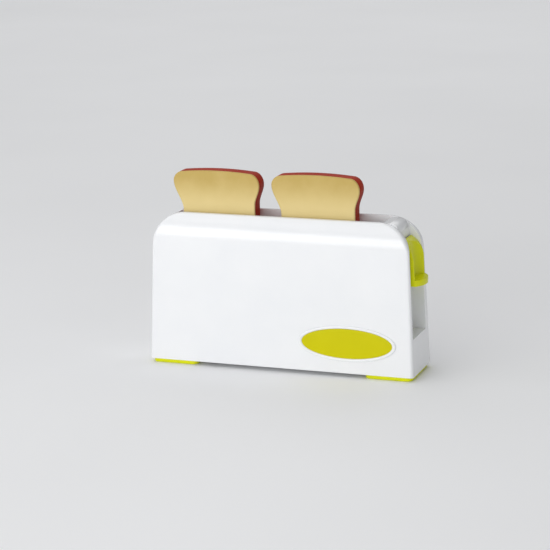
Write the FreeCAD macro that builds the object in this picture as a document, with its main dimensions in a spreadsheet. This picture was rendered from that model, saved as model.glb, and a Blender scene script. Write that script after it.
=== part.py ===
import FreeCAD, Part
import math
import os
import re

import Sketcher

# Toy pop-up toaster: two moulded half shells around one long bread slot, a lime lever that
# lowers the bread carriage on two guide rods, and two slices of play bread.
# X runs along the toaster, with the lever at the +X end, Y runs from front (-) to back (+),
# and Z is up from the surface that the feet stand on.
# The sub-parts are drawn about the middle of the body. Each one's Placement then moves it by
# half the lever's reach, so that the origin lies under the middle of the whole toaster.

DOC = FreeCAD.newDocument("toy_toaster")

# ---------------------------------------------------------------- driving sizes (mm, degrees)

SIZES = [
    ("body_length", 190, "length of the shells at their lower edge"),
    ("body_depth", 44, "depth of the shells at their lower edge"),
    ("body_top", 106, "height of the rim above the table"),
    ("foot_height", 3, "feet, which set the shells' lower edge"),
    ("end_draft", 2.1, "lean of the end faces"),
    ("side_draft", 2.1, "lean of the front and rear faces"),
    ("corner_radius", 22.5, "round top corners, seen from the front"),
    ("shoulder_rise", 17, "height of the curved shoulder below the rim"),
    ("rim", 2.6, "width of each rim, from the slot to the crest of the shoulder"),
    ("edge_round", 2.2, "rounding along the crest and down the upright edges"),
    ("wall", 2.2, "wall of the shells"),
    ("lip", 1.8, "thickness of the inner walls that border the slot and the lever channel"),
    ("lip_depth", 16, "depth of the inner walls along the slot"),
    ("saddle_length", 14, "from the left end of the shells to the bread slot"),
    ("channel_depth", 12, "depth of the lever channel, from the end of the shells"),
    ("channel_spread", 1.5, "how much wider than the slot the lever channel is, on each side"),
    ("mouth_round", 6, "rounding of the front lip along the mouth of the lever channel"),
    ("floor_play", 0.5, "air under the lever at its lowest"),
    ("frame_gap", 0.1, "play between the inner frames and the shells"),
    ("frame_wall", 2, "wall of the inner frames"),
    ("frame_recess", 0.6, "how far the inner frames lie below the rims"),
    ("bridge_roll", 6.5, "roll of the bridge down into the lever channel"),
    ("liner_wall", 1.8, "thickness of the slot liners"),
    ("liner_setback", 10, "from the rim down to the slot liners"),
    ("liner_bottom", 36, "lower edge of the slot liners"),
    ("rib_count", 6, "upright ribs on each slot liner"),
    ("rib_width", 2.4, "width of a liner rib"),
    ("rib_proud", 0.6, "how far a liner rib stands into the slot"),
    ("rib_drop", 4, "from the liners' upper edge down to their ribs"),
    ("peg_radius", 1.4, "pegs that hold the inner frames in the shells' inner walls"),
    ("peg_drop", 2.5, "from the liners' upper edge down to the pegs"),
    ("peg_inset", 12, "liner pegs, from the ends of the slot"),
    ("peg_short", 0.3, "how far the pegs end inside the inner walls"),
    ("rod_radius", 1.5, "steel guide rods"),
    ("rod_grip", 12, "how far the guide rods reach into their upper bosses"),
    ("running_gap", 0.05, "radial clearance of the carriage on the guide rods"),
    ("boss_wall", 1.6, "wall of the bosses and sleeves around the guide rods"),
    ("boss_gap", 0.5, "air between a sleeve and the walls beside it"),
    ("end_wall_rise", 2, "from the rod bosses up to the slot's end walls"),
    ("rod_socket", 7, "height of the lower rod bosses above the base plate"),
    ("base_thickness", 3, "base plate"),
    ("base_gap", 0.2, "play of the base plate inside the shells"),
    ("travel", 34.5, "how far the lever and the bread go down"),
    ("tray_drop", 36.3, "from the rim down to the tray on which the bread stands, lever up"),
    ("tray_thickness", 2.5, "floor of the bread tray"),
    ("tray_end_gap", 1.2, "air between the tray and the ends of the slot"),
    ("tray_side_gap", 0.6, "air between the tray and the liner ribs"),
    ("fence_height", 4.3, "fences that hold the bread upright"),
    ("fence_gap", 0.4, "air between a slice and the fences"),
    ("fence_wall", 1.5, "thickness of the fences"),
    ("sleeve_drop", 7.5, "how far the sliding sleeves reach below the tray's top"),
    ("sleeve_rise", 3.3, "how far the sliding sleeves reach above the tray's top"),
    ("stem_half", 2.4, "half the width of the stem that carries the lever"),
    ("stem_rise", 2, "from the underside of the lever's ledge up to its stem"),
    ("stem_drop", 13, "from the top of the lever down to the top of its stem"),
    ("arm_rise", 1, "from the lower end of the sleeves up to the arms that carry them"),
    ("slit_gap", 0.5, "play of the stem in the slit of the lever channel"),
    ("stop_washer", 1, "rubber stop washers"),
    ("stop_gap", 0.1, "air between a stop washer and what meets it"),
    ("wire_radius", 0.4, "wire of the return springs"),
    ("coil_radius", 2.5, "middle radius of the return springs"),
    ("coil_turns", 12, "turns of each return spring"),
    ("lever_play", 0.3, "play of the lever between the channel walls"),
    ("lever_gap", 0.8, "air between the lever and the channel's inner wall"),
    ("lever_drop", 6.2, "from the tray's top down to the underside of the lever's ledge"),
    ("lever_height", 29.5, "height of the lever"),
    ("lever_curve", 14.1, "height over which the lever's outer face curves in to its top"),
    ("lever_crown", 1.15, "width of the lever's top edge"),
    ("lever_proud", 1.1, "how far the lever stands out past the ends of the shells"),
    ("lever_back", 4.8, "thickness of the lever behind the deepest place of its scoop"),
    ("scoop_radius", 15.5, "hollow of the lever's scoop just above the ledge"),
    ("scoop_flare", 1.5, "how much wider that hollow is over the height of the lever"),
    ("ledge_thickness", 4, "finger ledge of the lever"),
    ("lever_reach", 4, "how far the ledge stands out past the shells' lower edge"),
    ("tongue_half", 1.6, "half the width of the tongue that plugs into the lever"),
    ("tongue_length", 1.8, "depth of that tongue"),
    ("tongue_foot", 3, "from the lower edge of the stem up to the tongue"),
    ("tongue_head", 1, "from the upper edge of the stem down to the tongue"),
    ("snap_gap", 0.05, "play of the tongue in its socket"),
    ("slice_width", 52.3, "width of the play bread in the slot"),
    ("flare_left", 6.8, "flare of the bread towards its left shoulder"),
    ("flare_right", 3.4, "flare of the bread towards its right shoulder"),
    ("slice_height", 64.3, "height of the play bread"),
    ("slice_thickness", 12, "thickness of the play bread"),
    ("flare_rise", 23, "height over which the bread flares out"),
    ("shoulder_drop", 7.3, "from the top of the bread down to its widest point"),
    ("crown_rise", 1.2, "rise of the domed top"),
    ("slice_seat", 0.3, "air under the bread"),
    ("bread_gap", 1.2, "air between the bread's shoulder and the left end of the slot"),
    ("slice_gap", 19.1, "gap between the two slices in the slot"),
    ("crumb_thickness", 1.6, "pale front part of a slice"),
    ("crust_wall", 2, "wall of the hollow crust part"),
    ("seat_play", 0.5, "play of a slice between the tray's stops"),
    ("badge_inset", 46.3, "middle of the oval badge, from the right end of the shells"),
    ("badge_z", 23.5, "height of the badge's middle"),
    ("badge_length", 69, "length of the badge with its border"),
    ("badge_height", 24.6, "height of the badge with its border"),
    ("border_side", 2.6, "width of the badge's border at its ends"),
    ("border_top", 2.1, "width of the badge's border at its top and foot"),
    ("border_proud", 1, "how far the border stands out"),
    ("plate_proud", 0.7, "how far the lime oval stands out"),
    ("plate_gap", 0.05, "play of the lime oval in its border"),
    ("foot_length", 33, "length of each foot"),
    ("foot_setback", 1.4, "how far the feet lie inside the shells' lower edge"),
    ("foot_round", 4, "round corners of the feet"),
    ("foot_peg", 2, "radius of the pegs on the feet"),
    ("foot_peg_height", 3.4, "height of the pegs on the feet"),
    ("foot_peg_inset", 10, "foot pegs, from the front and rear of the shells' lower edge"),
    ("screw_radius", 1.2, "shank of the screws"),
    ("head_radius", 2.3, "head of the screws"),
    ("head_height", 1.6, "height of the screw heads"),
    ("screw_tip", 0.8, "air ahead of the tips of the screws"),
    ("boss_radius", 3.5, "screw bosses"),
    ("shell_screw_z", 17, "height of the screws that join the shells"),
    ("shell_screw_inset", 29, "outer screws that join the shells, from the shells' ends"),
    ("shell_screw_depth", 10, "how far those screws reach into the front shell"),
    ("shell_screw_seat", 6, "how deep their heads are sunk below the lower edge of the rear shell"),
    ("base_screw_x", 50, "place of the base screws along the toaster"),
    ("base_screw_inset", 5, "base screws, from the front and rear of the shells' lower edge"),
    ("base_screw_length", 9, "shank of the base screws"),
    ("boss_cap", 1.2, "closed end of the bosses of the base screws"),
    ("pilot_gap", 0.02, "play around a screw's shank"),
    ("hole_gap", 0.3, "play around a screw's shank where it only passes through"),
]

SHELL_SCREWS = 4        # screws along the lower edge of the rear shell
BASE_SIDES = ((-1, -1), (-1, 1), (1, -1), (1, 1))


def fill_sheet():
    """Put every driving size in the spreadsheet, one row each: name, value, meaning."""
    sheet = DOC.addObject("Spreadsheet::Sheet", "Sizes")
    for row, (alias, value, note) in enumerate(SIZES, 1):
        sheet.set(f"A{row}", alias)
        sheet.set(f"B{row}", str(value))
        sheet.set(f"C{row}", note)
        sheet.setAlias(f"B{row}", alias)
    DOC.recompute()
    return sheet


SHEET = fill_sheet()
ALIASES = {alias for alias, value, note in SIZES}

PAST = 1                # how far a cutting solid runs past what it cuts, mm
MERGE = 0.5             # how far a feature runs into the one that it is joined to, mm

# Sizes that follow from the driving ones. Each is an expression over names in these two lists.
DERIVED = {
    "half_length": "body_length / 2",
    "half_depth": "body_depth / 2",
    "shoulder_z": "body_top - shoulder_rise",
    "corner_z": "body_top - corner_radius",
    "corner_x": "half_length - (corner_z - foot_height) * tan(end_draft)"
                " - corner_radius / cos(end_draft)",
    "shoulder_half": "half_depth - (shoulder_z - foot_height) * tan(side_draft)",
    "fence_inner": "slice_thickness / 2 + fence_gap",
    "tray_half": "fence_inner + fence_wall",
    "slot_half": "tray_half + tray_side_gap + rib_proud + liner_wall + frame_gap",
    "crest_half": "slot_half + rim",
    "lip_outer": "slot_half + lip",
    "lip_bottom": "body_top - lip_depth",
    "liner_top": "body_top - liner_setback",
    "frame_half": "slot_half - frame_gap",
    "frame_top": "body_top - frame_recess",
    "peg_z": "liner_top - peg_drop",
    "boss_outer": "rod_radius + boss_wall",
    "channel_back": "half_length - channel_depth",
    "channel_half": "slot_half + channel_spread",
    "channel_outer": "channel_half + lip",
    "slot_right": "channel_back - 2 * (frame_wall + boss_gap + boss_outer)",
    "slot_left": "half_length - saddle_length",
    "rod_right": "slot_right + frame_wall + boss_gap + boss_outer",
    "rod_left": "slot_left + frame_wall + boss_gap + boss_outer",
    "tray_top": "body_top - tray_drop",
    "lever_bottom": "tray_top - lever_drop",
    "lever_top": "lever_bottom + lever_height",
    "lever_half": "channel_half - lever_play",
    "lever_rear": "channel_back + lever_gap",
    "lever_end": "half_length + lever_proud + foot_height * tan(end_draft)",
    "lever_turn": "lever_top - lever_curve",
    "ledge_top": "lever_bottom + ledge_thickness",
    "ledge_root": "lever_end - lever_bottom * tan(end_draft)",
    "stem_bottom": "lever_bottom + stem_rise",
    "stem_top": "lever_top - stem_drop",
    "slit_half": "stem_half + slit_gap",
    "channel_floor": "lever_bottom - travel - floor_play",
    "shell_floor": "channel_floor - wall",
    "base_top": "foot_height + base_thickness",
    "socket_top": "base_top + rod_socket",
    "bore": "rod_radius + running_gap",
    "sleeve_bottom": "tray_top - sleeve_drop",
    "sleeve_top": "tray_top + sleeve_rise",
    "boss_bottom": "sleeve_top + stop_washer + stop_gap * 2",
    "rod_top": "boss_bottom + rod_grip",
    "wall_bottom": "boss_bottom + end_wall_rise",
    "fence_top": "tray_top + fence_height",
    "slice_bottom": "tray_top + slice_seat",
    "slice_back": "slice_thickness / 2",
    "slice_left": "bread_gap + flare_left + slice_width / 2 - slot_left",
    "slice_right": "slice_left + slice_width + slice_gap",
    "slice_shoulder": "slice_height - shoulder_drop",
    "badge_x": "half_length - badge_inset",
    "badge_y": "half_depth - (badge_z - foot_height) * tan(side_draft)",
    "plate_length": "badge_length - 2 * border_side",
    "plate_height": "badge_height - 2 * border_top",
    "foot_peg_x": "half_length - foot_setback - foot_length / 2",
    "foot_peg_y": "half_depth - foot_peg_inset",
    "base_screw_y": "half_depth - base_screw_inset",
    "base_screw_tip": "foot_height + head_height / 2 + base_screw_length + screw_tip",
    "shell_head_y": "half_depth - shell_screw_seat + head_height",
    "clear": "body_top + slice_height",
}


def expand(text):
    """An expression in plain size names, rewritten for the spreadsheet."""
    def one(match):
        word = match.group(0)
        if word in DERIVED:
            return "(" + expand(DERIVED[word]) + ")"
        if word in ALIASES:
            return "Sizes." + word
        return word
    return re.sub(r"[a-z][a-z_]*", one, text)


def value(text):
    """The number that an expression in plain size names gives."""
    result = SHEET.evalExpression(expand(text))
    return float(getattr(result, "Value", result))


def bind(thing, path, text):
    """Tie one property of a document object to an expression in plain size names."""
    thing.setExpression(path, expand(text))


# ---------------------------------------------------------------- solids bound to the sheet

def box(name, low, high):
    """A block between two corners, each given as three expressions."""
    block = DOC.addObject("Part::Box", name)
    for side, axis, start, end in zip(("Length", "Width", "Height"), "xyz", low, high):
        bind(block, side, f"({end}) - ({start})")
        bind(block, "Placement.Base." + axis, start)
    return block


AXIS_TURNS = {
    "x": FreeCAD.Rotation(FreeCAD.Vector(0, 1, 0), 90),
    "y": FreeCAD.Rotation(FreeCAD.Vector(1, 0, 0), -90),
    "z": FreeCAD.Rotation(),
}


def cylinder(name, axis, start, radius, length):
    """A cylinder from a start point along +x, +y or +z."""
    round_bar = DOC.addObject("Part::Cylinder", name)
    round_bar.Placement = FreeCAD.Placement(FreeCAD.Vector(), AXIS_TURNS[axis])
    bind(round_bar, "Radius", radius)
    bind(round_bar, "Height", length)
    for letter, place in zip("xyz", start):
        bind(round_bar, "Placement.Base." + letter, place)
    return round_bar


def tube(name, start, inner, outer, length):
    """An upright ring or sleeve."""
    return cut(
        name,
        cylinder(name + "_outside", "z", start, outer, length),
        cylinder(name + "_bore", "z", start, inner, length),
    )


def fuse(name, *pieces):
    joined = DOC.addObject("Part::MultiFuse", name)
    joined.Shapes = list(pieces)
    joined.Refine = True
    return joined


def cut(name, base, *tools):
    result = DOC.addObject("Part::Cut", name)
    result.Base = base
    result.Tool = tools[0] if len(tools) == 1 else fuse(name + "_tools", *tools)
    return result


def common(name, first, second):
    result = DOC.addObject("Part::Common", name)
    result.Base = first
    result.Tool = second
    return result


PLANES = {
    "XY": FreeCAD.Rotation(),
    "XZ": FreeCAD.Rotation(FreeCAD.Vector(1, 0, 0), 90),
    "YZ": FreeCAD.Rotation(FreeCAD.Vector(1, 1, 1), 120),
}


def draw(sketch, corners):
    """Draw a closed outline, counter-clockwise, in a sketch.

    Each corner is (x, y) or (x, y, radius). A radius makes the edge that leaves the corner an
    arc: it bulges outwards, or inwards where the radius is written with "hollow" before it.
    """
    points = [FreeCAD.Vector(value(c[0]), value(c[1]), 0) for c in corners]
    ends = []
    for index, corner in enumerate(corners):
        start = points[index]
        end = points[(index + 1) % len(points)]
        if len(corner) == 2:
            sketch.addGeometry(Part.LineSegment(start, end), False)
            ends.append((1, 2))
            continue
        hollow = corner[2].startswith("hollow ")
        radius = value(corner[2].replace("hollow ", ""))
        half = (end - start) * 0.5
        rise = math.sqrt(max(radius ** 2 - half.Length ** 2, 0))
        side = FreeCAD.Vector(-half.y, half.x, 0)
        side.normalize()
        centre = start + half + side * (-rise if hollow else rise)
        first, last = (end, start) if hollow else (start, end)
        from_angle = math.atan2(first.y - centre.y, first.x - centre.x)
        to_angle = math.atan2(last.y - centre.y, last.x - centre.x)
        if to_angle < from_angle:
            to_angle += 2 * math.pi
        circle = Part.Circle(centre, FreeCAD.Vector(0, 0, 1), radius)
        sketch.addGeometry(Part.ArcOfCircle(circle, from_angle, to_angle), False)
        ends.append((2, 1) if hollow else (1, 2))
        size = sketch.addConstraint(Sketcher.Constraint("Radius", index, radius))
        bind(sketch, f"Constraints[{size}]", corner[2].replace("hollow ", ""))
    for index in range(len(corners)):
        after = (index + 1) % len(corners)
        meet = Sketcher.Constraint("Coincident", index, ends[index][1], after, ends[after][0])
        sketch.addConstraint(meet)
    for index, corner in enumerate(corners):
        for kind, place, text in (("DistanceX", points[index].x, corner[0]),
                                  ("DistanceY", points[index].y, corner[1])):
            size = Sketcher.Constraint(kind, -1, 1, index, ends[index][0], place)
            bind(sketch, f"Constraints[{sketch.addConstraint(size)}]", text)


def prism(name, plane, corners, start, end):
    """An outline swept straight along its plane's normal, between two places on it."""
    sketch = DOC.addObject("Sketcher::SketchObject", name + "_outline")
    sketch.Placement = FreeCAD.Placement(FreeCAD.Vector(), PLANES[plane])
    draw(sketch, corners)
    solid = DOC.addObject("Part::Extrusion", name)
    solid.Base = sketch
    solid.DirMode = "Custom"
    solid.Solid = True
    along = {"XY": (0, 0, 1), "XZ": (0, 1, 0), "YZ": (1, 0, 0)}[plane]
    solid.Dir = FreeCAD.Vector(*along)
    bind(solid, "LengthFwd", end)
    bind(solid, "LengthRev", f"-({start})")
    return solid


def origin_plane(body, role):
    """One of a body's own origin planes."""
    return next(f for f in body.Origin.OriginFeatures if f.Role == role)


def body_sketch(body, name, role, corners, offset="0"):
    """A sketch in a body, on one of its origin planes or parallel to it."""
    sketch = body.newObject("Sketcher::SketchObject", name)
    sketch.AttachmentSupport = [(origin_plane(body, role), "")]
    sketch.MapMode = "FlatFace"
    bind(sketch, "AttachmentOffset.Base.z", offset)
    draw(sketch, corners)
    return sketch


def pad(body, name, sketch, length, symmetric=False, reverse=False):
    feature = body.newObject("PartDesign::Pad", name)
    feature.Profile = sketch
    feature.SideType = "Symmetric" if symmetric else "One side"
    feature.Reversed = reverse
    bind(feature, "Length", length)
    DOC.recompute()
    return feature


def pocket(body, name, sketch, length, symmetric=False, reverse=False):
    """A pocket that must take something away."""
    before = body.Shape.Volume
    feature = body.newObject("PartDesign::Pocket", name)
    feature.Profile = sketch
    feature.SideType = "Symmetric" if symmetric else "One side"
    feature.Reversed = reverse
    bind(feature, "Length", length)
    DOC.recompute()
    if body.Shape.Volume >= before:
        raise ValueError(f"{name} cuts nothing")
    return feature


# ---------------------------------------------------------------- sub-parts

SUBPARTS = []


def keep(label, thing):
    """Name a sub-part and move it with the rest, so that the origin is under the middle."""
    thing.Label = label
    bind(thing, "Placement.Base.x", "0 - lever_reach / 2")
    SUBPARTS.append(thing)
    return thing


def keep_at(label, thing, x, y, z):
    """Name a sub-part that is drawn about a place of its own."""
    thing.Label = label
    bind(thing, "Placement.Base.x", f"{x} - lever_reach / 2")
    bind(thing, "Placement.Base.y", y)
    bind(thing, "Placement.Base.z", z)
    SUBPARTS.append(thing)
    return thing


def outline_block(name, inset, bottom):
    """The toaster seen from the front, pulled in by an inset, as deep as the body."""
    radius = f"(corner_radius - {inset})"
    tangent_x = f"corner_x + {radius} * cos(end_draft)"
    tangent_z = f"corner_z + {radius} * sin(end_draft)"
    foot_x = f"half_length - {inset} / cos(end_draft) - ({bottom} - foot_height) * tan(end_draft)"
    corners = [
        (f"0 - ({foot_x})", bottom),
        (foot_x, bottom),
        (tangent_x, tangent_z, radius),
        ("corner_x", f"body_top - {inset}"),
        ("0 - corner_x", f"body_top - {inset}", radius),
        (f"0 - ({tangent_x})", tangent_z),
    ]
    return prism(name, "XZ", corners, "0 - body_depth", "body_depth")


def section_block(name, inset, bottom):
    """The toaster seen from its end, pulled in by an inset, as long as the body."""
    low_y = f"half_depth - {inset} / cos(side_draft) - ({bottom} - foot_height) * tan(side_draft)"
    high_y = f"shoulder_half - {inset}"
    crest = f"crest_half - {inset}"
    run = f"(({high_y}) - ({crest}))"
    rise = f"(shoulder_rise - {inset})"
    chord = f"sqrt({run} * {run} + {rise} * {rise})"
    bend = f"(atan({run} / {rise}) - side_draft * 1 deg)"
    radius = f"{chord} / (2 * sin({bend}))"
    corners = [
        (f"0 - ({low_y})", bottom),
        (low_y, bottom),
        (high_y, "shoulder_z", radius),
        (crest, f"body_top - {inset}"),
        (f"0 - ({crest})", f"body_top - {inset}", radius),
        (f"0 - ({high_y})", "shoulder_z"),
    ]
    return prism(name, "YZ", corners, "0 - body_length", "body_length")


def form(name, inset, bottom):
    """The toaster's whole outer form, pulled in by an inset."""
    return common(
        name,
        outline_block(name + "_front_view", inset, bottom),
        section_block(name + "_end_view", inset, bottom),
    )


def crest_edges(shape):
    """Numbers of the sharp edges along the crests and down the upright corners."""
    steep = 0.5
    bend = math.radians(25)
    found = []
    for number, edge in enumerate(shape.Edges, 1):
        faces = shape.ancestorsOfType(edge, Part.Face)
        normals = []
        middle = edge.valueAt((edge.FirstParameter + edge.LastParameter) / 2)
        for face in faces:
            u, v = face.Surface.parameter(middle)
            normals.append(face.normalAt(u, v))
        side = any(abs(n.y) > steep for n in normals)
        underneath = any(n.z < -steep for n in normals)
        if normals[0].getAngle(normals[1]) > bend and side and not underneath:
            found.append(number)
    return found


def rounded_form():
    """The outer form with its crests and upright edges rounded."""
    plain = form("outer_form", "0", "foot_height")
    DOC.recompute()
    rounded = DOC.addObject("Part::Fillet", "rounded_form")
    rounded.Base = plain
    size = value("edge_round")
    rounded.Edges = [(n, size, size) for n in crest_edges(plain.Shape)]
    return rounded


def shell_screw_places():
    """Places along X of the screws that join the two shells, from left to right."""
    steps = SHELL_SCREWS - 1
    return [f"({2 * index - steps}) / {steps} * (half_length - shell_screw_inset)"
            for index in range(SHELL_SCREWS)]


def channel_and_lips():
    """The solid borders of the bread slot and the lever channel, inside the shells."""
    floor = box("channel_floor_plate",
                ("channel_back - frame_wall", "0 - channel_outer", "shell_floor"),
                ("body_length", "channel_outer", "channel_floor"))
    sides = [floor]
    for name, start, near, far, bottom in (
            ("lip", "0 - body_length", "slot_half", "lip_outer", "lip_bottom"),
            ("channel_side", "channel_back - frame_wall - lip", "slot_half", "channel_outer",
             "shell_floor"),
            ("channel_post", "half_length - mouth_round - lip", "channel_half", "body_depth",
             "shell_floor")):
        sides.append(box("front_" + name, (start, f"0 - {far}", bottom),
                         ("body_length", f"0 - {near}", "clear")))
        sides.append(box("rear_" + name, (start, near, bottom), ("body_length", far, "clear")))
    return fuse("borders", *sides)


def channel_mouth():
    """What rounds the front lip of the lever channel. It follows the lean of the shells' end."""
    end = "half_length - (channel_floor - foot_height) * tan(end_draft)"
    start = f"{end} - mouth_round"
    near = f"{MERGE} - channel_half"
    far = "0 - channel_half - mouth_round"
    sketch = DOC.addObject("Sketcher::SketchObject", "mouth_outline")
    bind(sketch, "Placement.Base.z", "channel_floor")
    draw(sketch, [
        (start, near),
        (start, "0 - channel_half", "hollow mouth_round"),
        (end, far),
        ("body_length", far),
        ("body_length", near),
    ])
    cutter = DOC.addObject("Part::Extrusion", "mouth")
    cutter.Base = sketch
    cutter.DirMode = "Custom"
    cutter.Solid = True
    cutter.Dir = FreeCAD.Vector(0, 0, 1)
    bind(cutter, "Dir.x", "0 - tan(end_draft)")
    bind(cutter, "LengthFwd", "body_top")
    return cutter


def screw_bosses():
    """Bosses for the screws that join the shells and hold the base plate."""
    bosses = []
    for index, x in enumerate(shell_screw_places(), 1):
        bosses.append(cylinder(f"shell_boss_{index}", "y", (x, "0 - half_depth", "shell_screw_z"),
                               "boss_radius", "body_depth"))
    for index, (side_x, side_y) in enumerate(BASE_SIDES, 1):
        place = (f"{side_x} * base_screw_x", f"{side_y} * base_screw_y", "base_top + base_gap")
        bosses.append(cylinder(f"base_boss_{index}", "z", place, "boss_radius",
                               "base_screw_tip + boss_cap - base_top - base_gap"))
    return bosses


def screw_holes():
    """Holes in the bosses and, at the rear, sunk seats for the screw heads."""
    holes = []
    for index, x in enumerate(shell_screw_places(), 1):
        pilot = "(shell_screw_depth + screw_tip)"
        holes.append(cylinder(f"front_pilot_{index}", "y", (x, f"0 - {pilot}", "shell_screw_z"),
                              "screw_radius + pilot_gap", pilot))
        holes.append(cylinder(f"rear_hole_{index}", "y", (x, "0", "shell_screw_z"),
                              "screw_radius + hole_gap", "half_depth"))
        holes.append(cylinder(f"rear_seat_{index}", "y",
                              (x, "half_depth - shell_screw_seat", "shell_screw_z"),
                              "head_radius + hole_gap", f"shell_screw_seat + {PAST}"))
    for index, (side_x, side_y) in enumerate(BASE_SIDES, 1):
        place = (f"{side_x} * base_screw_x", f"{side_y} * base_screw_y", "base_top")
        holes.append(cylinder(f"base_pilot_{index}", "z", place, "screw_radius + pilot_gap",
                              "base_screw_tip - base_top"))
    return holes


FRAME_PEGS = {"bridge": "slot_right + frame_wall", "saddle": "0 - slot_left - frame_wall"}
LINER_PEGS = {"left": "peg_inset - slot_left", "middle": "0", "right": "slot_right - peg_inset"}


def frame_peg(name):
    """A peg right across an inner frame, which plugs into both shells."""
    return cylinder(name + "_peg", "y", (FRAME_PEGS[name], "peg_short - lip_outer", "peg_z"),
                    "peg_radius", "2 * (lip_outer - peg_short)")


def peg_holes():
    """Holes for all pegs, through the shells' inner walls."""
    places = {**FRAME_PEGS, **LINER_PEGS}
    return [cylinder(f"{name}_peg_hole", "y", (x, f"0 - lip_outer - {PAST}", "peg_z"),
                     "peg_radius + frame_gap", f"2 * (lip_outer + {PAST})")
            for name, x in places.items()]


def shells():
    """The two half shells, which meet on the middle plane."""
    outer = rounded_form()
    hollow = cut("hollow", form("inner_form", "wall", f"foot_height - {PAST}"),
                 channel_and_lips(), *screw_bosses())
    rim_gap = box("rim_gap", ("0 - body_length", "0 - slot_half", "corner_z"),
                  ("body_length", "slot_half", "clear"))
    channel = box("channel", ("channel_back", "0 - channel_half", "channel_floor"),
                  ("body_length", "channel_half", "clear"))
    both = cut("both_shells", outer, hollow, rim_gap, channel, channel_mouth(),
               *screw_holes(), *peg_holes())
    for label, low, high in (("front_shell", "0 - body_depth", "0"),
                             ("rear_shell", "0", "body_depth")):
        half = box(label + "_side", ("0 - body_length", low, "0"), ("body_length", high, "clear"))
        keep(label, common(label + "_half", both, half))


def lever_guide():
    """Bridge at the right end of the slot, with the lever channel's inner wall and rod boss."""
    top = "frame_top"
    under = "frame_top - frame_wall"
    roll_x = "channel_back - bridge_roll"
    roll_z = "frame_top - bridge_roll"
    corners = [
        ("slot_right", "wall_bottom"),
        ("slot_right + frame_wall", "wall_bottom"),
        ("slot_right + frame_wall", under),
        (roll_x, under, "hollow bridge_roll - frame_wall"),
        ("channel_back - frame_wall", roll_z),
        ("channel_back - frame_wall", "channel_floor + frame_gap"),
        ("channel_back", "channel_floor + frame_gap"),
        ("channel_back", roll_z, "bridge_roll"),
        (roll_x, top),
        ("slot_right", top),
    ]
    plate = prism("bridge_plate", "XZ", corners, "0 - frame_half", "frame_half")
    boss = cylinder("bridge_boss", "z", ("rod_right", "0", "boss_bottom"), "boss_outer",
                    f"{under} + {MERGE} - boss_bottom")
    slit = box("stem_slit", (f"channel_back - frame_wall - {PAST}", "0 - slit_half", "0"),
               (f"channel_back + {PAST}", "slit_half", "stem_top + slit_gap"))
    bore = cylinder("bridge_bore", "z", ("rod_right", "0", "0"), "bore", "rod_top + frame_gap")
    whole = fuse("bridge", plate, boss, frame_peg("bridge"))
    return keep("lever_guide", cut("lever_guide_solid", whole, slit, bore))


def end_saddle():
    """Curved cover between the rims at the left end, with the slot's end wall and rod boss."""
    skin = cut("saddle_skin", outline_block("saddle_outside", "frame_recess", "foot_height"),
               outline_block("saddle_inside", "(frame_recess + frame_wall)", "0"))
    reach = box("saddle_reach", ("0 - body_length", "0 - frame_half", "corner_z + frame_gap"),
                ("0 - slot_left", "frame_half", "clear"))
    end_wall = box("saddle_wall", ("0 - slot_left - frame_wall", "0 - frame_half", "wall_bottom"),
                   ("0 - slot_left", "frame_half", "frame_top"))
    boss = cylinder("saddle_boss", "z", ("0 - rod_left", "0", "boss_bottom"), "boss_outer",
                    "frame_top - boss_bottom")
    inside = outline_block("saddle_limit", "frame_recess", "foot_height")
    bore = cylinder("saddle_bore", "z", ("0 - rod_left", "0", "0"), "bore",
                    "rod_top + frame_gap")
    inner = common("saddle_inner_part", fuse("saddle_wall_and_boss", end_wall, boss), inside)
    whole = fuse("saddle", common("saddle_cover", skin, reach), inner, frame_peg("saddle"))
    return keep("end_saddle", cut("end_saddle_solid", whole, bore))


def slot_liner(label, sign):
    """Ribbed plate that lines one side of the slot, pegged to a shell's inner wall."""
    def side(near, far):
        return (f"0 - ({far})", f"0 - ({near})") if sign < 0 else (near, far)

    low, high = side("frame_half - liner_wall", "frame_half")
    left = "frame_gap - slot_left"
    right = "slot_right - frame_gap"
    pieces = [box(label + "_plate", (left, low, "liner_bottom"), (right, high, "liner_top"))]
    low, high = side("frame_half - liner_wall - rib_proud", f"frame_half - {MERGE}")
    count = int(value("rib_count"))
    for index in range(count):
        middle = f"({left}) + ({index} + 0.5) * (({right}) - ({left})) / rib_count"
        pieces.append(box(f"{label}_rib_{index + 1}",
                          (f"{middle} - rib_width / 2", low, "liner_bottom"),
                          (f"{middle} + rib_width / 2", high, "liner_top - rib_drop")))
    low, high = side(f"frame_half - {MERGE}", "lip_outer - peg_short")
    for name, x in LINER_PEGS.items():
        pieces.append(cylinder(f"{label}_{name}_peg", "y", (x, low, "peg_z"), "peg_radius",
                               f"({high}) - ({low})"))
    return keep(label, fuse(label + "_solid", *pieces))


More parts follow.
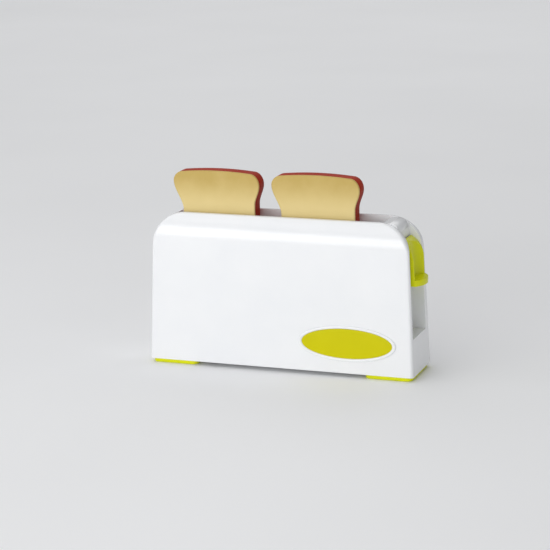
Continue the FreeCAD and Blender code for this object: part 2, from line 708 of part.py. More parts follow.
def base_plate():
    """Plate that closes the shells from below and holds the lower ends of the guide rods."""
    half_x = "half_length - wall - base_gap - base_top * tan(end_draft)"
    half_y = "half_depth - wall - base_gap - base_top * tan(side_draft)"
    plate = box("base_panel", (f"0 - ({half_x})", f"0 - ({half_y})", "foot_height"),
                (half_x, half_y, "base_top"))
    bosses = []
    holes = []
    for name, x in (("left", "0 - rod_left"), ("right", "rod_right")):
        bosses.append(cylinder(f"socket_{name}", "z", (x, "0", "foot_height"), "boss_outer",
                               "socket_top - foot_height"))
        holes.append(cylinder(f"socket_bore_{name}", "z", (x, "0", "base_top"), "bore",
                              f"rod_socket + {PAST}"))
    for index, (side_x, side_y) in enumerate(BASE_SIDES, 1):
        x = f"{side_x} * base_screw_x"
        y = f"{side_y} * base_screw_y"
        holes.append(cylinder(f"base_hole_{index}", "z", (x, y, "0"), "screw_radius + hole_gap",
                              "clear"))
        holes.append(cylinder(f"base_seat_{index}", "z", (x, y, "0"), "head_radius + hole_gap",
                              "foot_height + head_height"))
        holes.append(cylinder(f"foot_hole_{index}", "z",
                              (f"{side_x} * foot_peg_x", f"{side_y} * foot_peg_y", "0"),
                              "foot_peg + frame_gap", "clear"))
    return keep("base_plate", cut("base_plate_solid", fuse("base_and_sockets", plate, *bosses),
                                  *holes))


def foot(label, side):
    """Low foot across one end of the base, with two pegs that plug into the base plate."""
    outer_x = "half_length - foot_setback"
    half_y = "half_depth - foot_setback"
    body = DOC.addObject("PartDesign::Body", label + "_body")
    near, far = f"{side} * ({outer_x} - foot_length)", f"{side} * ({outer_x})"
    left, right = (near, far) if side > 0 else (far, near)
    outline = [(left, f"0 - ({half_y})"), (right, f"0 - ({half_y})"), (right, half_y),
               (left, half_y)]
    pad(body, label + "_slab", body_sketch(body, label + "_outline", "XY_Plane", outline),
        "foot_height")
    upright = [f"Edge{n}" for n, edge in enumerate(body.Shape.Edges, 1)
               if abs(edge.BoundBox.ZLength - value("foot_height")) < 1e-6]
    slab = body.Tip
    rounding = body.newObject("PartDesign::Fillet", label + "_corners")
    rounding.Base = (slab, upright)
    bind(rounding, "Radius", "foot_round")
    DOC.recompute()
    for index, side_y in enumerate((-1, 1), 1):
        peg = body.newObject("PartDesign::AdditiveCylinder", f"{label}_peg_{index}")
        bind(peg, "Radius", "foot_peg")
        bind(peg, "Height", "foot_height / 2 + foot_peg_height")
        bind(peg, "Placement.Base.x", f"{side} * foot_peg_x")
        bind(peg, "Placement.Base.y", f"{side_y} * foot_peg_y")
        bind(peg, "Placement.Base.z", "foot_height / 2")
        DOC.recompute()
    return keep(label, body)


def rods_and_springs():
    """Guide rods, the rubber washers that stop the carriage, and the return springs."""
    washers = []
    for name, x in (("left", "0 - rod_left"), ("right", "rod_right")):
        foot_z = "base_top + frame_gap"
        rod = cylinder(f"rod_{name}", "z", (x, "0", foot_z), "rod_radius", f"rod_top - ({foot_z})")
        keep_at(f"guide_rod_{name}", rod, x, "0", foot_z)
        washers.append(tube(f"washer_{name}", (x, "0", "sleeve_top + stop_gap"), "bore",
                            "boss_outer", "stop_washer"))
        return_spring(name, x)
    keep("stop_washers", DOC.addObject("Part::Compound", "washer_pair")).Links = washers


def return_spring(name, x):
    """Compression spring around a guide rod, under the carriage's sleeve."""
    helix = DOC.addObject("Part::Helix", f"coil_line_{name}")
    bind(helix, "Radius", "coil_radius")
    bind(helix, "Height", "sleeve_bottom - socket_top - 2 * wire_radius - 2 * stop_gap")
    bind(helix, "Pitch", "(sleeve_bottom - socket_top - 2 * wire_radius - 2 * stop_gap)"
                         " / coil_turns")
    wire = DOC.addObject("Part::Circle", f"wire_{name}")
    wire.Placement = FreeCAD.Placement(FreeCAD.Vector(), PLANES["XZ"])
    bind(wire, "Radius", "wire_radius")
    bind(wire, "Placement.Base.x", "coil_radius")
    sweep = DOC.addObject("Part::Sweep", f"coil_{name}")
    sweep.Sections = [wire]
    sweep.Spine = (helix, ["Edge1"])
    sweep.Frenet = True
    sweep.Solid = True
    return keep_at(f"return_spring_{name}", sweep, x, "0",
                   "socket_top + wire_radius + stop_gap")


def screw(name, axis, place, shank, inward):
    """A pan-head screw: a head and a shank along one axis, from the head's outer face."""
    letter = "xyz".index(axis)
    head_start = list(place)
    shank_start = list(place)
    if inward < 0:
        head_start[letter] = f"{place[letter]} - head_height"
        shank_start[letter] = f"{place[letter]} - head_height / 2 - ({shank})"
    else:
        shank_start[letter] = f"{place[letter]} + head_height / 2"
    head = cylinder(name + "_head", axis, head_start, "head_radius", "head_height")
    bar = cylinder(name + "_shank", axis, shank_start, "screw_radius", shank)
    return fuse(name, head, bar)


def screws():
    """The screws that join the shells from behind, and those that hold the base plate."""
    shell_set = [
        screw(f"shell_screw_{n}", "y", (x, "shell_head_y", "shell_screw_z"),
              "shell_head_y - head_height / 2 + shell_screw_depth", -1)
        for n, x in enumerate(shell_screw_places(), 1)
    ]
    base_set = [
        screw(f"base_screw_{n}", "z",
              (f"{sx} * base_screw_x", f"{sy} * base_screw_y", "foot_height"),
              "base_screw_length", 1)
        for n, (sx, sy) in enumerate(BASE_SIDES, 1)
    ]
    keep("shell_screws", DOC.addObject("Part::Compound", "shell_screw_set")).Links = shell_set
    keep("base_screws", DOC.addObject("Part::Compound", "base_screw_set")).Links = base_set


def oval(name, length, height, thickness):
    """An oval plate on the XZ plane, standing out towards the front."""
    ring = DOC.addObject("Part::Ellipse", name + "_edge")
    ring.Placement = FreeCAD.Placement(FreeCAD.Vector(), PLANES["XZ"])
    bind(ring, "MajorRadius", f"({length}) / 2")
    bind(ring, "MinorRadius", f"({height}) / 2")
    plate = DOC.addObject("Part::Extrusion", name)
    plate.Base = ring
    plate.DirMode = "Custom"
    plate.Dir = FreeCAD.Vector(0, -1, 0)
    plate.Solid = True
    bind(plate, "LengthFwd", thickness)
    return plate


def badge():
    """Blank oval badge on the front: a white raised border around a lime plate."""
    border = cut("badge_ring", oval("border_oval", "badge_length", "badge_height", "border_proud"),
                 oval("border_window", "plate_length", "plate_height", "border_proud"))
    plate = oval("plate_oval", "plate_length - 2 * plate_gap", "plate_height - 2 * plate_gap",
                 "plate_proud")
    for label, piece in (("badge_border", border), ("badge_plate", plate)):
        lean = FreeCAD.Rotation(FreeCAD.Vector(-1, 0, 0), value("side_draft"))
        piece.Placement = FreeCAD.Placement(FreeCAD.Vector(), lean)
        bind(piece, "Placement.Rotation.Angle", "side_draft * 1 deg")
        keep_at(label, piece, "badge_x", "0 - badge_y - pilot_gap", "badge_z")


def carriage():
    """Bread tray with its fences, the sleeves on the guide rods and the lever's stem."""
    floor_z = "tray_top - tray_thickness"
    left = "tray_end_gap - slot_left"
    right = "slot_right - tray_end_gap"
    foot = f"tray_top - {MERGE}"
    pieces = [box("tray_floor", (left, "0 - tray_half", floor_z), (right, "tray_half", "tray_top"))]
    for name, low, high in (("front", "0 - tray_half", "0 - fence_inner"),
                            ("rear", "fence_inner", "tray_half")):
        pieces.append(box(f"{name}_fence", (left, low, foot), (right, high, "fence_top")))
    for name, middle in (("left", "slice_left"), ("right", "slice_right")):
        for word, side in (("before", -1), ("after", 1)):
            edge = f"{middle} + {side} * (slice_width / 2 + seat_play + fence_wall / 2)"
            pieces.append(box(f"stop_{word}_{name}",
                              (f"{edge} - fence_wall / 2", "0 - tray_half", foot),
                              (f"{edge} + fence_wall / 2", "tray_half", "fence_top")))
    arm_z = "sleeve_bottom + arm_rise"
    pieces.append(box("left_arm", ("0 - rod_left", "0 - stem_half", arm_z),
                      (f"{left} + {MERGE}", "stem_half", "tray_top")))
    pieces.append(box("right_arm", (f"{right} - {MERGE}", "0 - stem_half", arm_z),
                      ("rod_right", "stem_half", "tray_top")))
    bores = []
    for name, x in (("left", "0 - rod_left"), ("right", "rod_right")):
        pieces.append(cylinder(f"sleeve_{name}", "z", (x, "0", "sleeve_bottom"), "boss_outer",
                               "sleeve_top - sleeve_bottom"))
        bores.append(cylinder(f"sleeve_bore_{name}", "z", (x, "0", "0"), "bore", "clear"))
    pieces.append(box("stem", ("rod_right + rod_radius", "0 - stem_half", "stem_bottom"),
                      ("lever_rear", "stem_half", "sleeve_top")))
    pieces.append(box("stem_riser", ("channel_back - frame_wall", "0 - stem_half", "stem_bottom"),
                      ("lever_rear", "stem_half", "stem_top")))
    pieces.append(box("tongue",
                      (f"lever_rear - {MERGE}", "0 - tongue_half", "stem_bottom + tongue_foot"),
                      ("lever_rear + tongue_length", "tongue_half", "stem_top - tongue_head")))
    return keep("carriage", cut("carriage_solid", fuse("carriage_pieces", *pieces), *bores))


def lever():
    """Lime lever: a hollow scoop above a finger ledge that bows out at its foot."""
    body = DOC.addObject("PartDesign::Body", "lever_body")
    end_high = "lever_end - lever_turn * tan(end_draft)"
    run = f"({end_high} - lever_rear - lever_crown)"
    side = [
        ("lever_rear", "lever_bottom"),
        ("ledge_root", "lever_bottom"),
        (end_high, "lever_turn", f"(lever_curve * lever_curve + {run} * {run}) / (2 * {run})"),
        ("lever_rear + lever_crown", "lever_top"),
        ("lever_rear", "lever_top"),
    ]
    pad(body, "lever_block", body_sketch(body, "lever_side", "XZ_Plane", side), "2 * lever_half",
        symmetric=True)
    bow = "(half_length + lever_reach - ledge_root)"
    plan = [
        ("lever_rear", "0 - lever_half"),
        ("ledge_root", "0 - lever_half", f"(lever_half * lever_half + {bow} * {bow}) / (2 * {bow})"),
        ("ledge_root", "lever_half"),
        ("lever_rear", "lever_half"),
    ]
    ledge = body_sketch(body, "ledge_plan", "XY_Plane", plan, "lever_bottom")
    pad(body, "ledge", ledge, "ledge_thickness")
    scoop = body.newObject("PartDesign::SubtractiveCone", "scoop")
    bind(scoop, "Radius1", "scoop_radius")
    bind(scoop, "Radius2", "scoop_radius + scoop_flare")
    bind(scoop, "Height", "lever_height")
    bind(scoop, "Placement.Base.x", "lever_rear + lever_back + scoop_radius")
    bind(scoop, "Placement.Base.z", "ledge_top")
    DOC.recompute()
    socket_low = "stem_bottom + tongue_foot - snap_gap"
    socket_high = "stem_top - tongue_head + snap_gap"
    socket_end = "lever_rear + tongue_length + snap_gap"
    socket = [
        (f"lever_rear - {PAST}", socket_low),
        (socket_end, socket_low),
        (socket_end, socket_high),
        (f"lever_rear - {PAST}", socket_high),
    ]
    pocket(body, "tongue_socket", body_sketch(body, "socket_side", "XZ_Plane", socket),
           "2 * (tongue_half + snap_gap)", symmetric=True)
    return keep("lever", body)


def slice_outline(inset):
    """Front view of a slice about its own middle, pulled in by an inset, from its foot up."""
    half = f"slice_width / 2 - {inset}"
    crown_z = f"slice_height - crown_rise - {inset}"
    corner = f"({crown_z} - slice_shoulder)"
    neck_z = "slice_shoulder - flare_rise"

    def side(flare):
        """Widest place, start of the domed top and hollow of the neck on one side."""
        widest = f"(slice_width / 2 + {flare} - {inset})"
        hollow = f"hollow (flare_rise * flare_rise + {flare} * {flare}) / (2 * {flare})"
        return widest, f"({widest} - {corner})", hollow

    right, right_crown, right_hollow = side("flare_right")
    left, left_crown, left_hollow = side("flare_left")
    span = f"(({right_crown} + {left_crown}) / 2)"
    dome = f"({span} * {span} + crown_rise * crown_rise) / (2 * crown_rise)"
    return [
        (f"0 - ({half})", inset),
        (half, inset),
        (half, neck_z, right_hollow),
        (right, "slice_shoulder", corner),
        (right_crown, crown_z, dome),
        (f"0 - {left_crown}", crown_z, corner),
        (f"0 - {left}", "slice_shoulder", left_hollow),
        (f"0 - ({half})", neck_z),
    ]


def bread_slice(number, middle):
    """One slice of play bread: a pale front part and a hollow crust part behind it."""
    crumb = DOC.addObject("PartDesign::Body", f"crumb_body_{number}")
    sketch = body_sketch(crumb, f"crumb_outline_{number}", "XZ_Plane", slice_outline("0"),
                         "slice_back")
    pad(crumb, f"crumb_{number}", sketch, "crumb_thickness", reverse=True)
    keep_at(f"slice_{number}_crumb", crumb, middle, "0", "slice_bottom")
    crust = DOC.addObject("PartDesign::Body", f"crust_body_{number}")
    sketch = body_sketch(crust, f"crust_outline_{number}", "XZ_Plane", slice_outline("0"),
                         "0 - slice_back")
    depth = "(slice_thickness - crumb_thickness)"
    pad(crust, f"crust_block_{number}", sketch, depth)
    sketch = body_sketch(crust, f"crust_hollow_{number}", "XZ_Plane",
                         slice_outline("crust_wall"), "0 - slice_back + crust_wall")
    pocket(crust, f"crust_cup_{number}", sketch, f"{depth} - crust_wall + {PAST}", reverse=True)
    keep_at(f"slice_{number}_crust", crust, middle, "0", "slice_bottom")


def build():
    shells()
    lever_guide()
    end_saddle()
    slot_liner("liner_front", -1)
    slot_liner("liner_rear", 1)
    base_plate()
    foot("foot_left", -1)
    foot("foot_right", 1)
    rods_and_springs()
    screws()
    badge()
    carriage()
    lever()
    bread_slice(1, "slice_left")
    bread_slice(2, "slice_right")
    DOC.recompute()


def check():
    """Stop if any object failed, or if any sub-part isn't a valid shape."""
    for thing in DOC.Objects:
        if "Invalid" in thing.State or "Error" in thing.State:
            raise ValueError(f"{thing.Label} failed: {thing.State}")
    for part in SUBPARTS:
        if part.Shape.isNull() or not part.Shape.isValid() or not part.Shape.Solids:
            raise ValueError(f"{part.Label} has no valid solid")


def export():
    """Write each sub-part to its own STEP file, named after its label."""
    os.makedirs("parts", exist_ok=True)
    for part in SUBPARTS:
        part.Shape.exportStep(f"parts/{part.Label}.step")
        print(f"{part.Label}: {len(part.Shape.Solids)} solid(s), {part.Shape.Volume:.0f} mm3")


build()
check()
export()
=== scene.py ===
"""Toy toaster: finish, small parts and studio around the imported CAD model. Lengths in metres."""
import math

import bmesh
import bpy
from mathutils import Matrix, Vector


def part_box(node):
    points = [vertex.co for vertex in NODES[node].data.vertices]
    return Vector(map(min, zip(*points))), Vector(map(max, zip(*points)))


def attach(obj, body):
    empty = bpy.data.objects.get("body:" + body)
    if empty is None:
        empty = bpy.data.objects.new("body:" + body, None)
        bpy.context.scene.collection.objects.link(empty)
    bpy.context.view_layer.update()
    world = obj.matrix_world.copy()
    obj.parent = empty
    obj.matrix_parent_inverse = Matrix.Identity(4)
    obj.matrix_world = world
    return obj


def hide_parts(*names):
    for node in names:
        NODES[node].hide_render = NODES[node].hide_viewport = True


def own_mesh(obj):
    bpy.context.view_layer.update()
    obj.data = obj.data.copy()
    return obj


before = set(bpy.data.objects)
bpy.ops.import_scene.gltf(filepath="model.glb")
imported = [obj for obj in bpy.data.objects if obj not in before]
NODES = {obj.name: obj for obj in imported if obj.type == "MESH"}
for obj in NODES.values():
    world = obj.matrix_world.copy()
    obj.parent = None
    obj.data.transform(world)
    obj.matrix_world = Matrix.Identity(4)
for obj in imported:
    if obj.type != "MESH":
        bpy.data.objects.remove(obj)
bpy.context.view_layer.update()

MM = 0.001

# ------------------------------------------------------------------ camera, floor and light

CAMERA_AT = Vector((0.4607, -1.2758, 0.3970))
CAMERA_AZIMUTH = 20.3           # degrees to the right of the front
CAMERA_ELEVATION = 13.82        # degrees above the horizon, looking down
CAMERA_ROLL = -1.345            # degrees
CAMERA_LENS = 133.77            # mm
CAMERA_SENSOR = 36              # mm wide
CAMERA_NEAR = 0.05
CAMERA_FAR = 20

FLOOR_HALF = 12.0
FLOOR_COLOUR = (0.90, 0.905, 0.915)
FLOOR_CLOUD = 1.03              # brightness of the floor's paler patches
WORLD_COLOUR = (0.97, 0.98, 1.0)
WORLD_STRENGTH = 0.27

# Each soft light's place, target, size and power in watts
SOFTBOXES = {
    "softbox_front": ((-0.38, -1.45, 0.35), (0, 0, 0.09), (1.7, 0.55), 9.9),
    "softbox_right": ((1.15, -0.95, 0.30), (0.05, 0, 0.06), (0.5, 0.4), 1.7),
    "softbox_top": ((-0.5, -0.6, 1.5), (0, 0, 0.05), (2.2, 1.8), 12.0),
    "softbox_far": ((-0.7, 2.2, 1.9), (-0.7, 1.9, 0), (4.0, 2.4), 30.0),
}


def make_camera():
    """Camera at the photograph's viewing angle."""
    data = bpy.data.cameras.new("camera")
    data.lens = CAMERA_LENS
    data.sensor_width = CAMERA_SENSOR
    data.clip_start = CAMERA_NEAR
    data.clip_end = CAMERA_FAR
    camera = bpy.data.objects.new("camera", data)
    bpy.context.scene.collection.objects.link(camera)
    turn = Matrix.Rotation(math.radians(CAMERA_AZIMUTH), 4, "Z")
    tilt = Matrix.Rotation(math.radians(90 - CAMERA_ELEVATION), 4, "X")
    roll = Matrix.Rotation(math.radians(CAMERA_ROLL), 4, "Z")
    camera.matrix_world = Matrix.Translation(CAMERA_AT) @ turn @ tilt @ roll
    bpy.context.scene.camera = camera


def area_light(name, at, target, size, power):
    """A rectangular soft light that faces its target."""
    data = bpy.data.lights.new(name, "AREA")
    data.shape = "RECTANGLE"
    data.size, data.size_y = size
    data.energy = power
    lamp = bpy.data.objects.new(name, data)
    bpy.context.scene.collection.objects.link(lamp)
    aim = (Vector(target) - Vector(at)).to_track_quat("-Z", "Y")
    lamp.matrix_world = Matrix.Translation(at) @ aim.to_matrix().to_4x4()


def studio():
    """Pale floor, nearly white surroundings and soft lights."""
    scene = bpy.context.scene
    scene.view_settings.view_transform = "Standard"
    world = bpy.data.worlds.new("studio")
    world.use_nodes = True
    world.node_tree.nodes["Background"].inputs["Color"].default_value = (*WORLD_COLOUR, 1)
    world.node_tree.nodes["Background"].inputs["Strength"].default_value = WORLD_STRENGTH
    scene.world = world
    mesh = bpy.data.meshes.new("floor")
    corners = [(x, y, 0) for x, y in ((-1, -1), (1, -1), (1, 1), (-1, 1))]
    mesh.from_pydata([Vector(c) * FLOOR_HALF for c in corners], [], [(0, 1, 2, 3)])
    floor = bpy.data.objects.new("floor", mesh)
    scene.collection.objects.link(floor)
    floor.data.materials.append(floor_material())
    for name, settings in SOFTBOXES.items():
        area_light(name, *settings)


# ------------------------------------------------------------------ materials

# Noise scales, in patches per metre
PAPER_TONE = 3
PAPER_GRAIN = 1500
CLOUDS = 28                     # of a plastic's colour
TOP_SHADE_PATCHES = 70
GLOSS_PATCHES = 90
RUB_MARKS = 420
DRAWN_LINES = 900

RAMP_START = 0.3                # values of a noise between which the colour changes
RAMP_END = 0.7
TOP_SHADE_START = 106 * MM          # heights between which a painted shade darkens the bread towards its top
TOP_SHADE_FULL = 133 * MM
TOP_SHADE_UNEVEN = (0.7, 1.3)       # share by which patches of the painted shade are lighter and darker
WORN_EDGE = 0.5 * MM            # edges sharper than this radius are worn
EDGE_SAMPLES = 4
EDGE_COSINE = 0.75              # of the turn at which an edge counts in full
WEAR = (0.0, 0.6)               # least and most of the worn colour along an edge
PLASTIC_IOR = 1.5
COAT_ROUGHNESS = 0.08
GRAIN_STRENGTH = 0.35
DRAWN_STRENGTH = 0.3
DRAWN_DEPTH = 0.02 * MM
DRAWN_SHADE = 0.8               # brightness of the darkest lines in drawn steel
PAPER_ROUGHNESS = 0.7
PAPER_STRENGTH = 0.1
PAPER_DEPTH = 0.02 * MM


class Nodes:
    """A small helper that adds linked shader nodes to one material."""

    def __init__(self, name):
        self.material = bpy.data.materials.new(name)
        self.material.use_nodes = True
        self.tree = self.material.node_tree
        self.shader = self.tree.nodes["Principled BSDF"]
        self.place = self.add("ShaderNodeTexCoord").outputs["Object"]

    def add(self, kind, **settings):
        node = self.tree.nodes.new(kind)
        for key, setting in settings.items():
            setattr(node, key, setting)
        return node

    def link(self, out, into):
        self.tree.links.new(out, into)

    def noise(self, scale, detail, rough=0.5, place=None):
        node = self.add("ShaderNodeTexNoise")
        node.inputs["Scale"].default_value = scale
        node.inputs["Detail"].default_value = detail
        node.inputs["Roughness"].default_value = rough
        self.link(place or self.place, node.inputs["Vector"])
        return node.outputs["Fac"]

    def ramp(self, noise, low, high):
        """A colour between two others that follows a noise."""
        node = self.add("ShaderNodeValToRGB")
        node.color_ramp.elements[0].position = RAMP_START
        node.color_ramp.elements[0].color = (*low, 1)
        node.color_ramp.elements[1].position = RAMP_END
        node.color_ramp.elements[1].color = (*high, 1)
        self.link(noise, node.inputs["Fac"])
        return node.outputs["Color"]

    def span(self, factor, low, high):
        """A number between two others, by a factor that runs from 0 to 1."""
        node = self.add("ShaderNodeMapRange")
        node.inputs["To Min"].default_value = low
        node.inputs["To Max"].default_value = high
        self.link(factor, node.inputs["Value"])
        return node.outputs["Result"]

    def times(self, first, second, **settings):
        """The product of two numbers."""
        node = self.add("ShaderNodeMath", operation="MULTIPLY", **settings)
        self.link(first, node.inputs[0])
        self.link(second, node.inputs[1])
        return node.outputs["Value"]

    def mix(self, factor, first, second):
        """The first colour, which gives way to a second, constant one as the factor rises."""
        node = self.add("ShaderNodeMixRGB")
        self.link(factor, node.inputs["Fac"])
        self.link(first, node.inputs["Color1"])
        node.inputs["Color2"].default_value = (*second, 1)
        return node.outputs["Color"]

    def painted_top_shade(self):
        """Painted shade: 0 at the rim of the slot and up to 1 towards the top of the bread, in soft
        patches.
        """
        apart = self.add("ShaderNodeSeparateXYZ")
        self.link(self.place, apart.inputs["Vector"])
        rise = self.add("ShaderNodeMapRange", interpolation_type="SMOOTHSTEP")
        rise.inputs["From Min"].default_value = TOP_SHADE_START
        rise.inputs["From Max"].default_value = TOP_SHADE_FULL
        self.link(apart.outputs["Z"], rise.inputs["Value"])
        patches = self.span(self.noise(TOP_SHADE_PATCHES, detail=3), *TOP_SHADE_UNEVEN)
        return self.times(rise.outputs["Result"], patches, use_clamp=True)

    def edges(self, radius):
        """0 on flat stretches and up to 1 on edges that are sharper than the radius."""
        bevel = self.add("ShaderNodeBevel", samples=EDGE_SAMPLES)
        bevel.inputs["Radius"].default_value = radius
        plain = self.add("ShaderNodeNewGeometry")
        dot = self.add("ShaderNodeVectorMath", operation="DOT_PRODUCT")
        self.link(bevel.outputs["Normal"], dot.inputs[0])
        self.link(plain.outputs["Normal"], dot.inputs[1])
        node = self.add("ShaderNodeMapRange")
        node.inputs["From Min"].default_value = 1.0
        node.inputs["From Max"].default_value = EDGE_COSINE
        self.link(dot.outputs["Value"], node.inputs["Value"])
        return node.outputs["Result"]

    def bump(self, height, strength, distance):
        node = self.add("ShaderNodeBump")
        node.inputs["Strength"].default_value = strength
        node.inputs["Distance"].default_value = distance
        self.link(height, node.inputs["Height"])
        self.link(node.outputs["Normal"], self.shader.inputs["Normal"])


def plastic(name, low, high, rough, grain, depth, worn, coat=0.0, top_shade_colour=None, shine=0.5):
    """Moulded plastic: cloudy colour, uneven gloss, fine moulded grain, paler worn edges and, where
    a colour is given, a painted shade towards the top.
    """
    made = Nodes(name)
    colour = made.ramp(made.noise(CLOUDS, detail=3), low, high)
    # painted shade: the colour darkens towards the top of the bread
    if top_shade_colour:
        colour = made.mix(made.painted_top_shade(), colour, top_shade_colour)
    rub = made.noise(RUB_MARKS, detail=3, rough=0.65)
    wear = made.times(made.edges(WORN_EDGE), made.span(rub, *WEAR))
    made.link(made.mix(wear, colour, worn), made.shader.inputs["Base Color"])
    gloss = made.noise(GLOSS_PATCHES, detail=4, rough=0.6)
    made.link(made.span(gloss, *rough), made.shader.inputs["Roughness"])
    made.shader.inputs["IOR"].default_value = PLASTIC_IOR
    made.shader.inputs["Specular IOR Level"].default_value = shine
    made.shader.inputs["Coat Weight"].default_value = coat
    made.shader.inputs["Coat Roughness"].default_value = COAT_ROUGHNESS
    made.bump(made.noise(grain, detail=3), GRAIN_STRENGTH, depth)
    return made.material


def metal(name, colour, rough, stretch):
    """Bright steel with fine drawn lines."""
    made = Nodes(name)
    lines = made.add("ShaderNodeMapping")
    lines.inputs["Scale"].default_value = stretch
    made.link(made.place, lines.inputs["Vector"])
    drawn = made.noise(DRAWN_LINES, detail=3, place=lines.outputs["Vector"])
    dark = tuple(c * DRAWN_SHADE for c in colour)
    made.link(made.ramp(drawn, dark, colour), made.shader.inputs["Base Color"])
    made.shader.inputs["Metallic"].default_value = 1.0
    made.link(made.span(drawn, *rough), made.shader.inputs["Roughness"])
    made.bump(drawn, DRAWN_STRENGTH, DRAWN_DEPTH)
    return made.material


def floor_material():
    """Pale paper with faint clouds and a fine grain."""
    made = Nodes("floor_paper")
    pale = tuple(c * FLOOR_CLOUD for c in FLOOR_COLOUR)
    tone = made.ramp(made.noise(PAPER_TONE, detail=2), FLOOR_COLOUR, pale)
    made.link(tone, made.shader.inputs["Base Color"])
    made.shader.inputs["Roughness"].default_value = PAPER_ROUGHNESS
    made.bump(made.noise(PAPER_GRAIN, detail=2), PAPER_STRENGTH, PAPER_DEPTH)
    return made.material


WHITE = plastic("white_gloss", (0.855, 0.868, 0.885), (0.885, 0.893, 0.905), rough=(0.16, 0.24),
                grain=1600, depth=0.012 * MM, worn=(0.93, 0.93, 0.92), coat=0.25)
INNER = plastic("white_satin", (0.80, 0.81, 0.82), (0.84, 0.85, 0.855), rough=(0.38, 0.5),
                grain=2400, depth=0.03 * MM, worn=(0.9, 0.9, 0.9))
BASE = plastic("base_satin", (0.76, 0.77, 0.78), (0.81, 0.82, 0.83), rough=(0.42, 0.55),
               grain=2600, depth=0.05 * MM, worn=(0.88, 0.88, 0.88))
LIME = plastic("lime_gloss", (0.70, 0.73, 0.003), (0.76, 0.78, 0.006), rough=(0.22, 0.32),
               grain=1500, depth=0.012 * MM, worn=(0.84, 0.87, 0.15), shine=0.25)
BADGE = plastic("badge_lime", (0.60, 0.55, 0.001), (0.64, 0.59, 0.002), rough=(0.3, 0.38),
                grain=2200, depth=0.02 * MM, worn=(0.75, 0.72, 0.10), shine=0.12)
# The crumb's face gets a painted shade towards its top.
CRUMB = plastic("crumb_cream", (0.785, 0.625, 0.275), (0.83, 0.67, 0.31), rough=(0.4, 0.52),
                grain=900, depth=0.06 * MM, worn=(0.85, 0.70, 0.36),
                top_shade_colour=(0.545, 0.385, 0.105), shine=0.3)
CRUST = plastic("crust_brown", (0.36, 0.026, 0.009), (0.43, 0.036, 0.013), rough=(0.45, 0.6),
                grain=1100, depth=0.06 * MM, worn=(0.50, 0.06, 0.025), shine=0.1)
RUBBER = plastic("rubber_black", (0.012, 0.012, 0.012), (0.02, 0.02, 0.02), rough=(0.6, 0.75),
                 grain=2000, depth=0.05 * MM, worn=(0.06, 0.06, 0.06))
STEEL = metal("steel_rod", (0.62, 0.63, 0.64), rough=(0.22, 0.36), stretch=(1, 1, 0.04))


# ------------------------------------------------------------------ mesh helpers

SMOOTH_ANGLE = 40               # degrees between faces up to which shading is smooth


class Build:
    """Vertices and faces of one piece, gathered ring by ring."""

    def __init__(self):
        self.verts = []
        self.faces = []

    def add(self, rings):
        """Take in rings of equal count, and return the index of each one's first vertex."""
        first = len(self.verts)
        for ring in rings:
            self.verts.extend(ring)
        return range(first, len(self.verts), len(rings[0]))

    def band(self, low, high, count):
        """Join two rings, each given by its first vertex, all the way around."""
        for i in range(count):
            after = (i + 1) % count
            self.faces.append((low + i, low + after, high + after, high + i))

    def fan(self, first, ring):
        """Close a ring with triangles to its middle."""
        count = len(ring)
        self.verts.append(sum((Vector(v) for v in ring), Vector()) / count)
        hub = len(self.verts) - 1
        for i in range(count):
            self.faces.append((first + i, first + (i + 1) % count, hub))

    def loft(self, rings):
        """Join rings of equal count, and close the first and the last one."""
        starts = self.add(rings)
        for low, high in zip(starts, starts[1:]):
            self.band(low, high, len(rings[0]))
        self.fan(starts[0], rings[0])
        self.fan(starts[-1], rings[-1])

    def round_loft(self, rings):
        """Join rings of equal count that run round and back to the first one."""
        starts = self.add(rings)
        for low, high in zip(starts, (*starts[1:], starts[0])):
            self.band(low, high, len(rings[0]))


def piece(name, build, material, body, nodes, smooth=SMOOTH_ANGLE):
    """One object of the visual model that replaces CAD nodes, in the toaster's own frame."""
    mesh = bpy.data.meshes.new(name)
    mesh.from_pydata([tuple(v) for v in build.verts], [], build.faces)
    bm = bmesh.new()
    bm.from_mesh(mesh)
    bmesh.ops.recalc_face_normals(bm, faces=bm.faces)
    bm.to_mesh(mesh)
    bm.free()
    mesh.shade_smooth()
    mesh.set_sharp_from_angle(angle=math.radians(smooth))
    mesh.materials.append(material)
    made = bpy.data.objects.new(name, mesh)
    bpy.context.scene.collection.objects.link(made)
    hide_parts(*nodes)
    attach(made, body)
    return made


def turns(count):
    """Equal steps once around, in radians."""
    return [2 * math.pi * i / count for i in range(count)]


def quarter(radius, steps):
    """(inset, rise) pairs of a rounded edge, from flush at the side to flush at the top."""
    angles = [math.pi / 2 * i / steps for i in range(steps + 1)]
    return [(radius * (1 - math.cos(a)), radius * math.sin(a)) for a in angles]


# ------------------------------------------------------------------ bread

SLICE_WIDTH = 52.3 * MM         # at the bottom
SLICE_HEIGHT = 64.3 * MM
FLARE_LEFT = 6.8 * MM           # how far the shoulders stand out past the bottom
FLARE_RIGHT = 3.4 * MM
SHOULDER_LEFT = 8.0 * MM        # the widest places, below the top of the slice
SHOULDER_RIGHT = 9.5 * MM
NECK_LEFT = 28.0 * MM           # where the straight sides end, below the top of the slice
NECK_RIGHT = 23.0 * MM
SHOULDER_REACH = 7.0 * MM       # width of the round shoulders
CROWN_RISE = 1.2 * MM           # rise of the domed top

# Steps along the stretches of the outline
SIDE_STEPS = 8
BEND_STEPS = 14
SHOULDER_STEPS = 12
CROWN_STEPS = 22
BOTTOM_STEPS = 12

CRUST_WALL = 2.0 * MM           # the crust is hollow behind the pale face
CRUST_ROUND = 1.7 * MM          # rounding of the crust's rear edge
CRUST_LIP = 0.25 * MM           # rounding of the crust's front edge, and the inset of its middle
CRUST_LIP_MIDDLE = 0.08 * MM
CRUMB_ROUND = 0.8 * MM          # rounding of the pale face's edge
STRETCH_LIMIT = 0.5             # keeps the corners of an inset outline from running away

# Rear edge of the pale face: inset, and distance from the crust
CRUMB_BACK = ((0.3 * MM, 0.02 * MM), (0.05 * MM, 0.12 * MM), (0, 0.3 * MM))


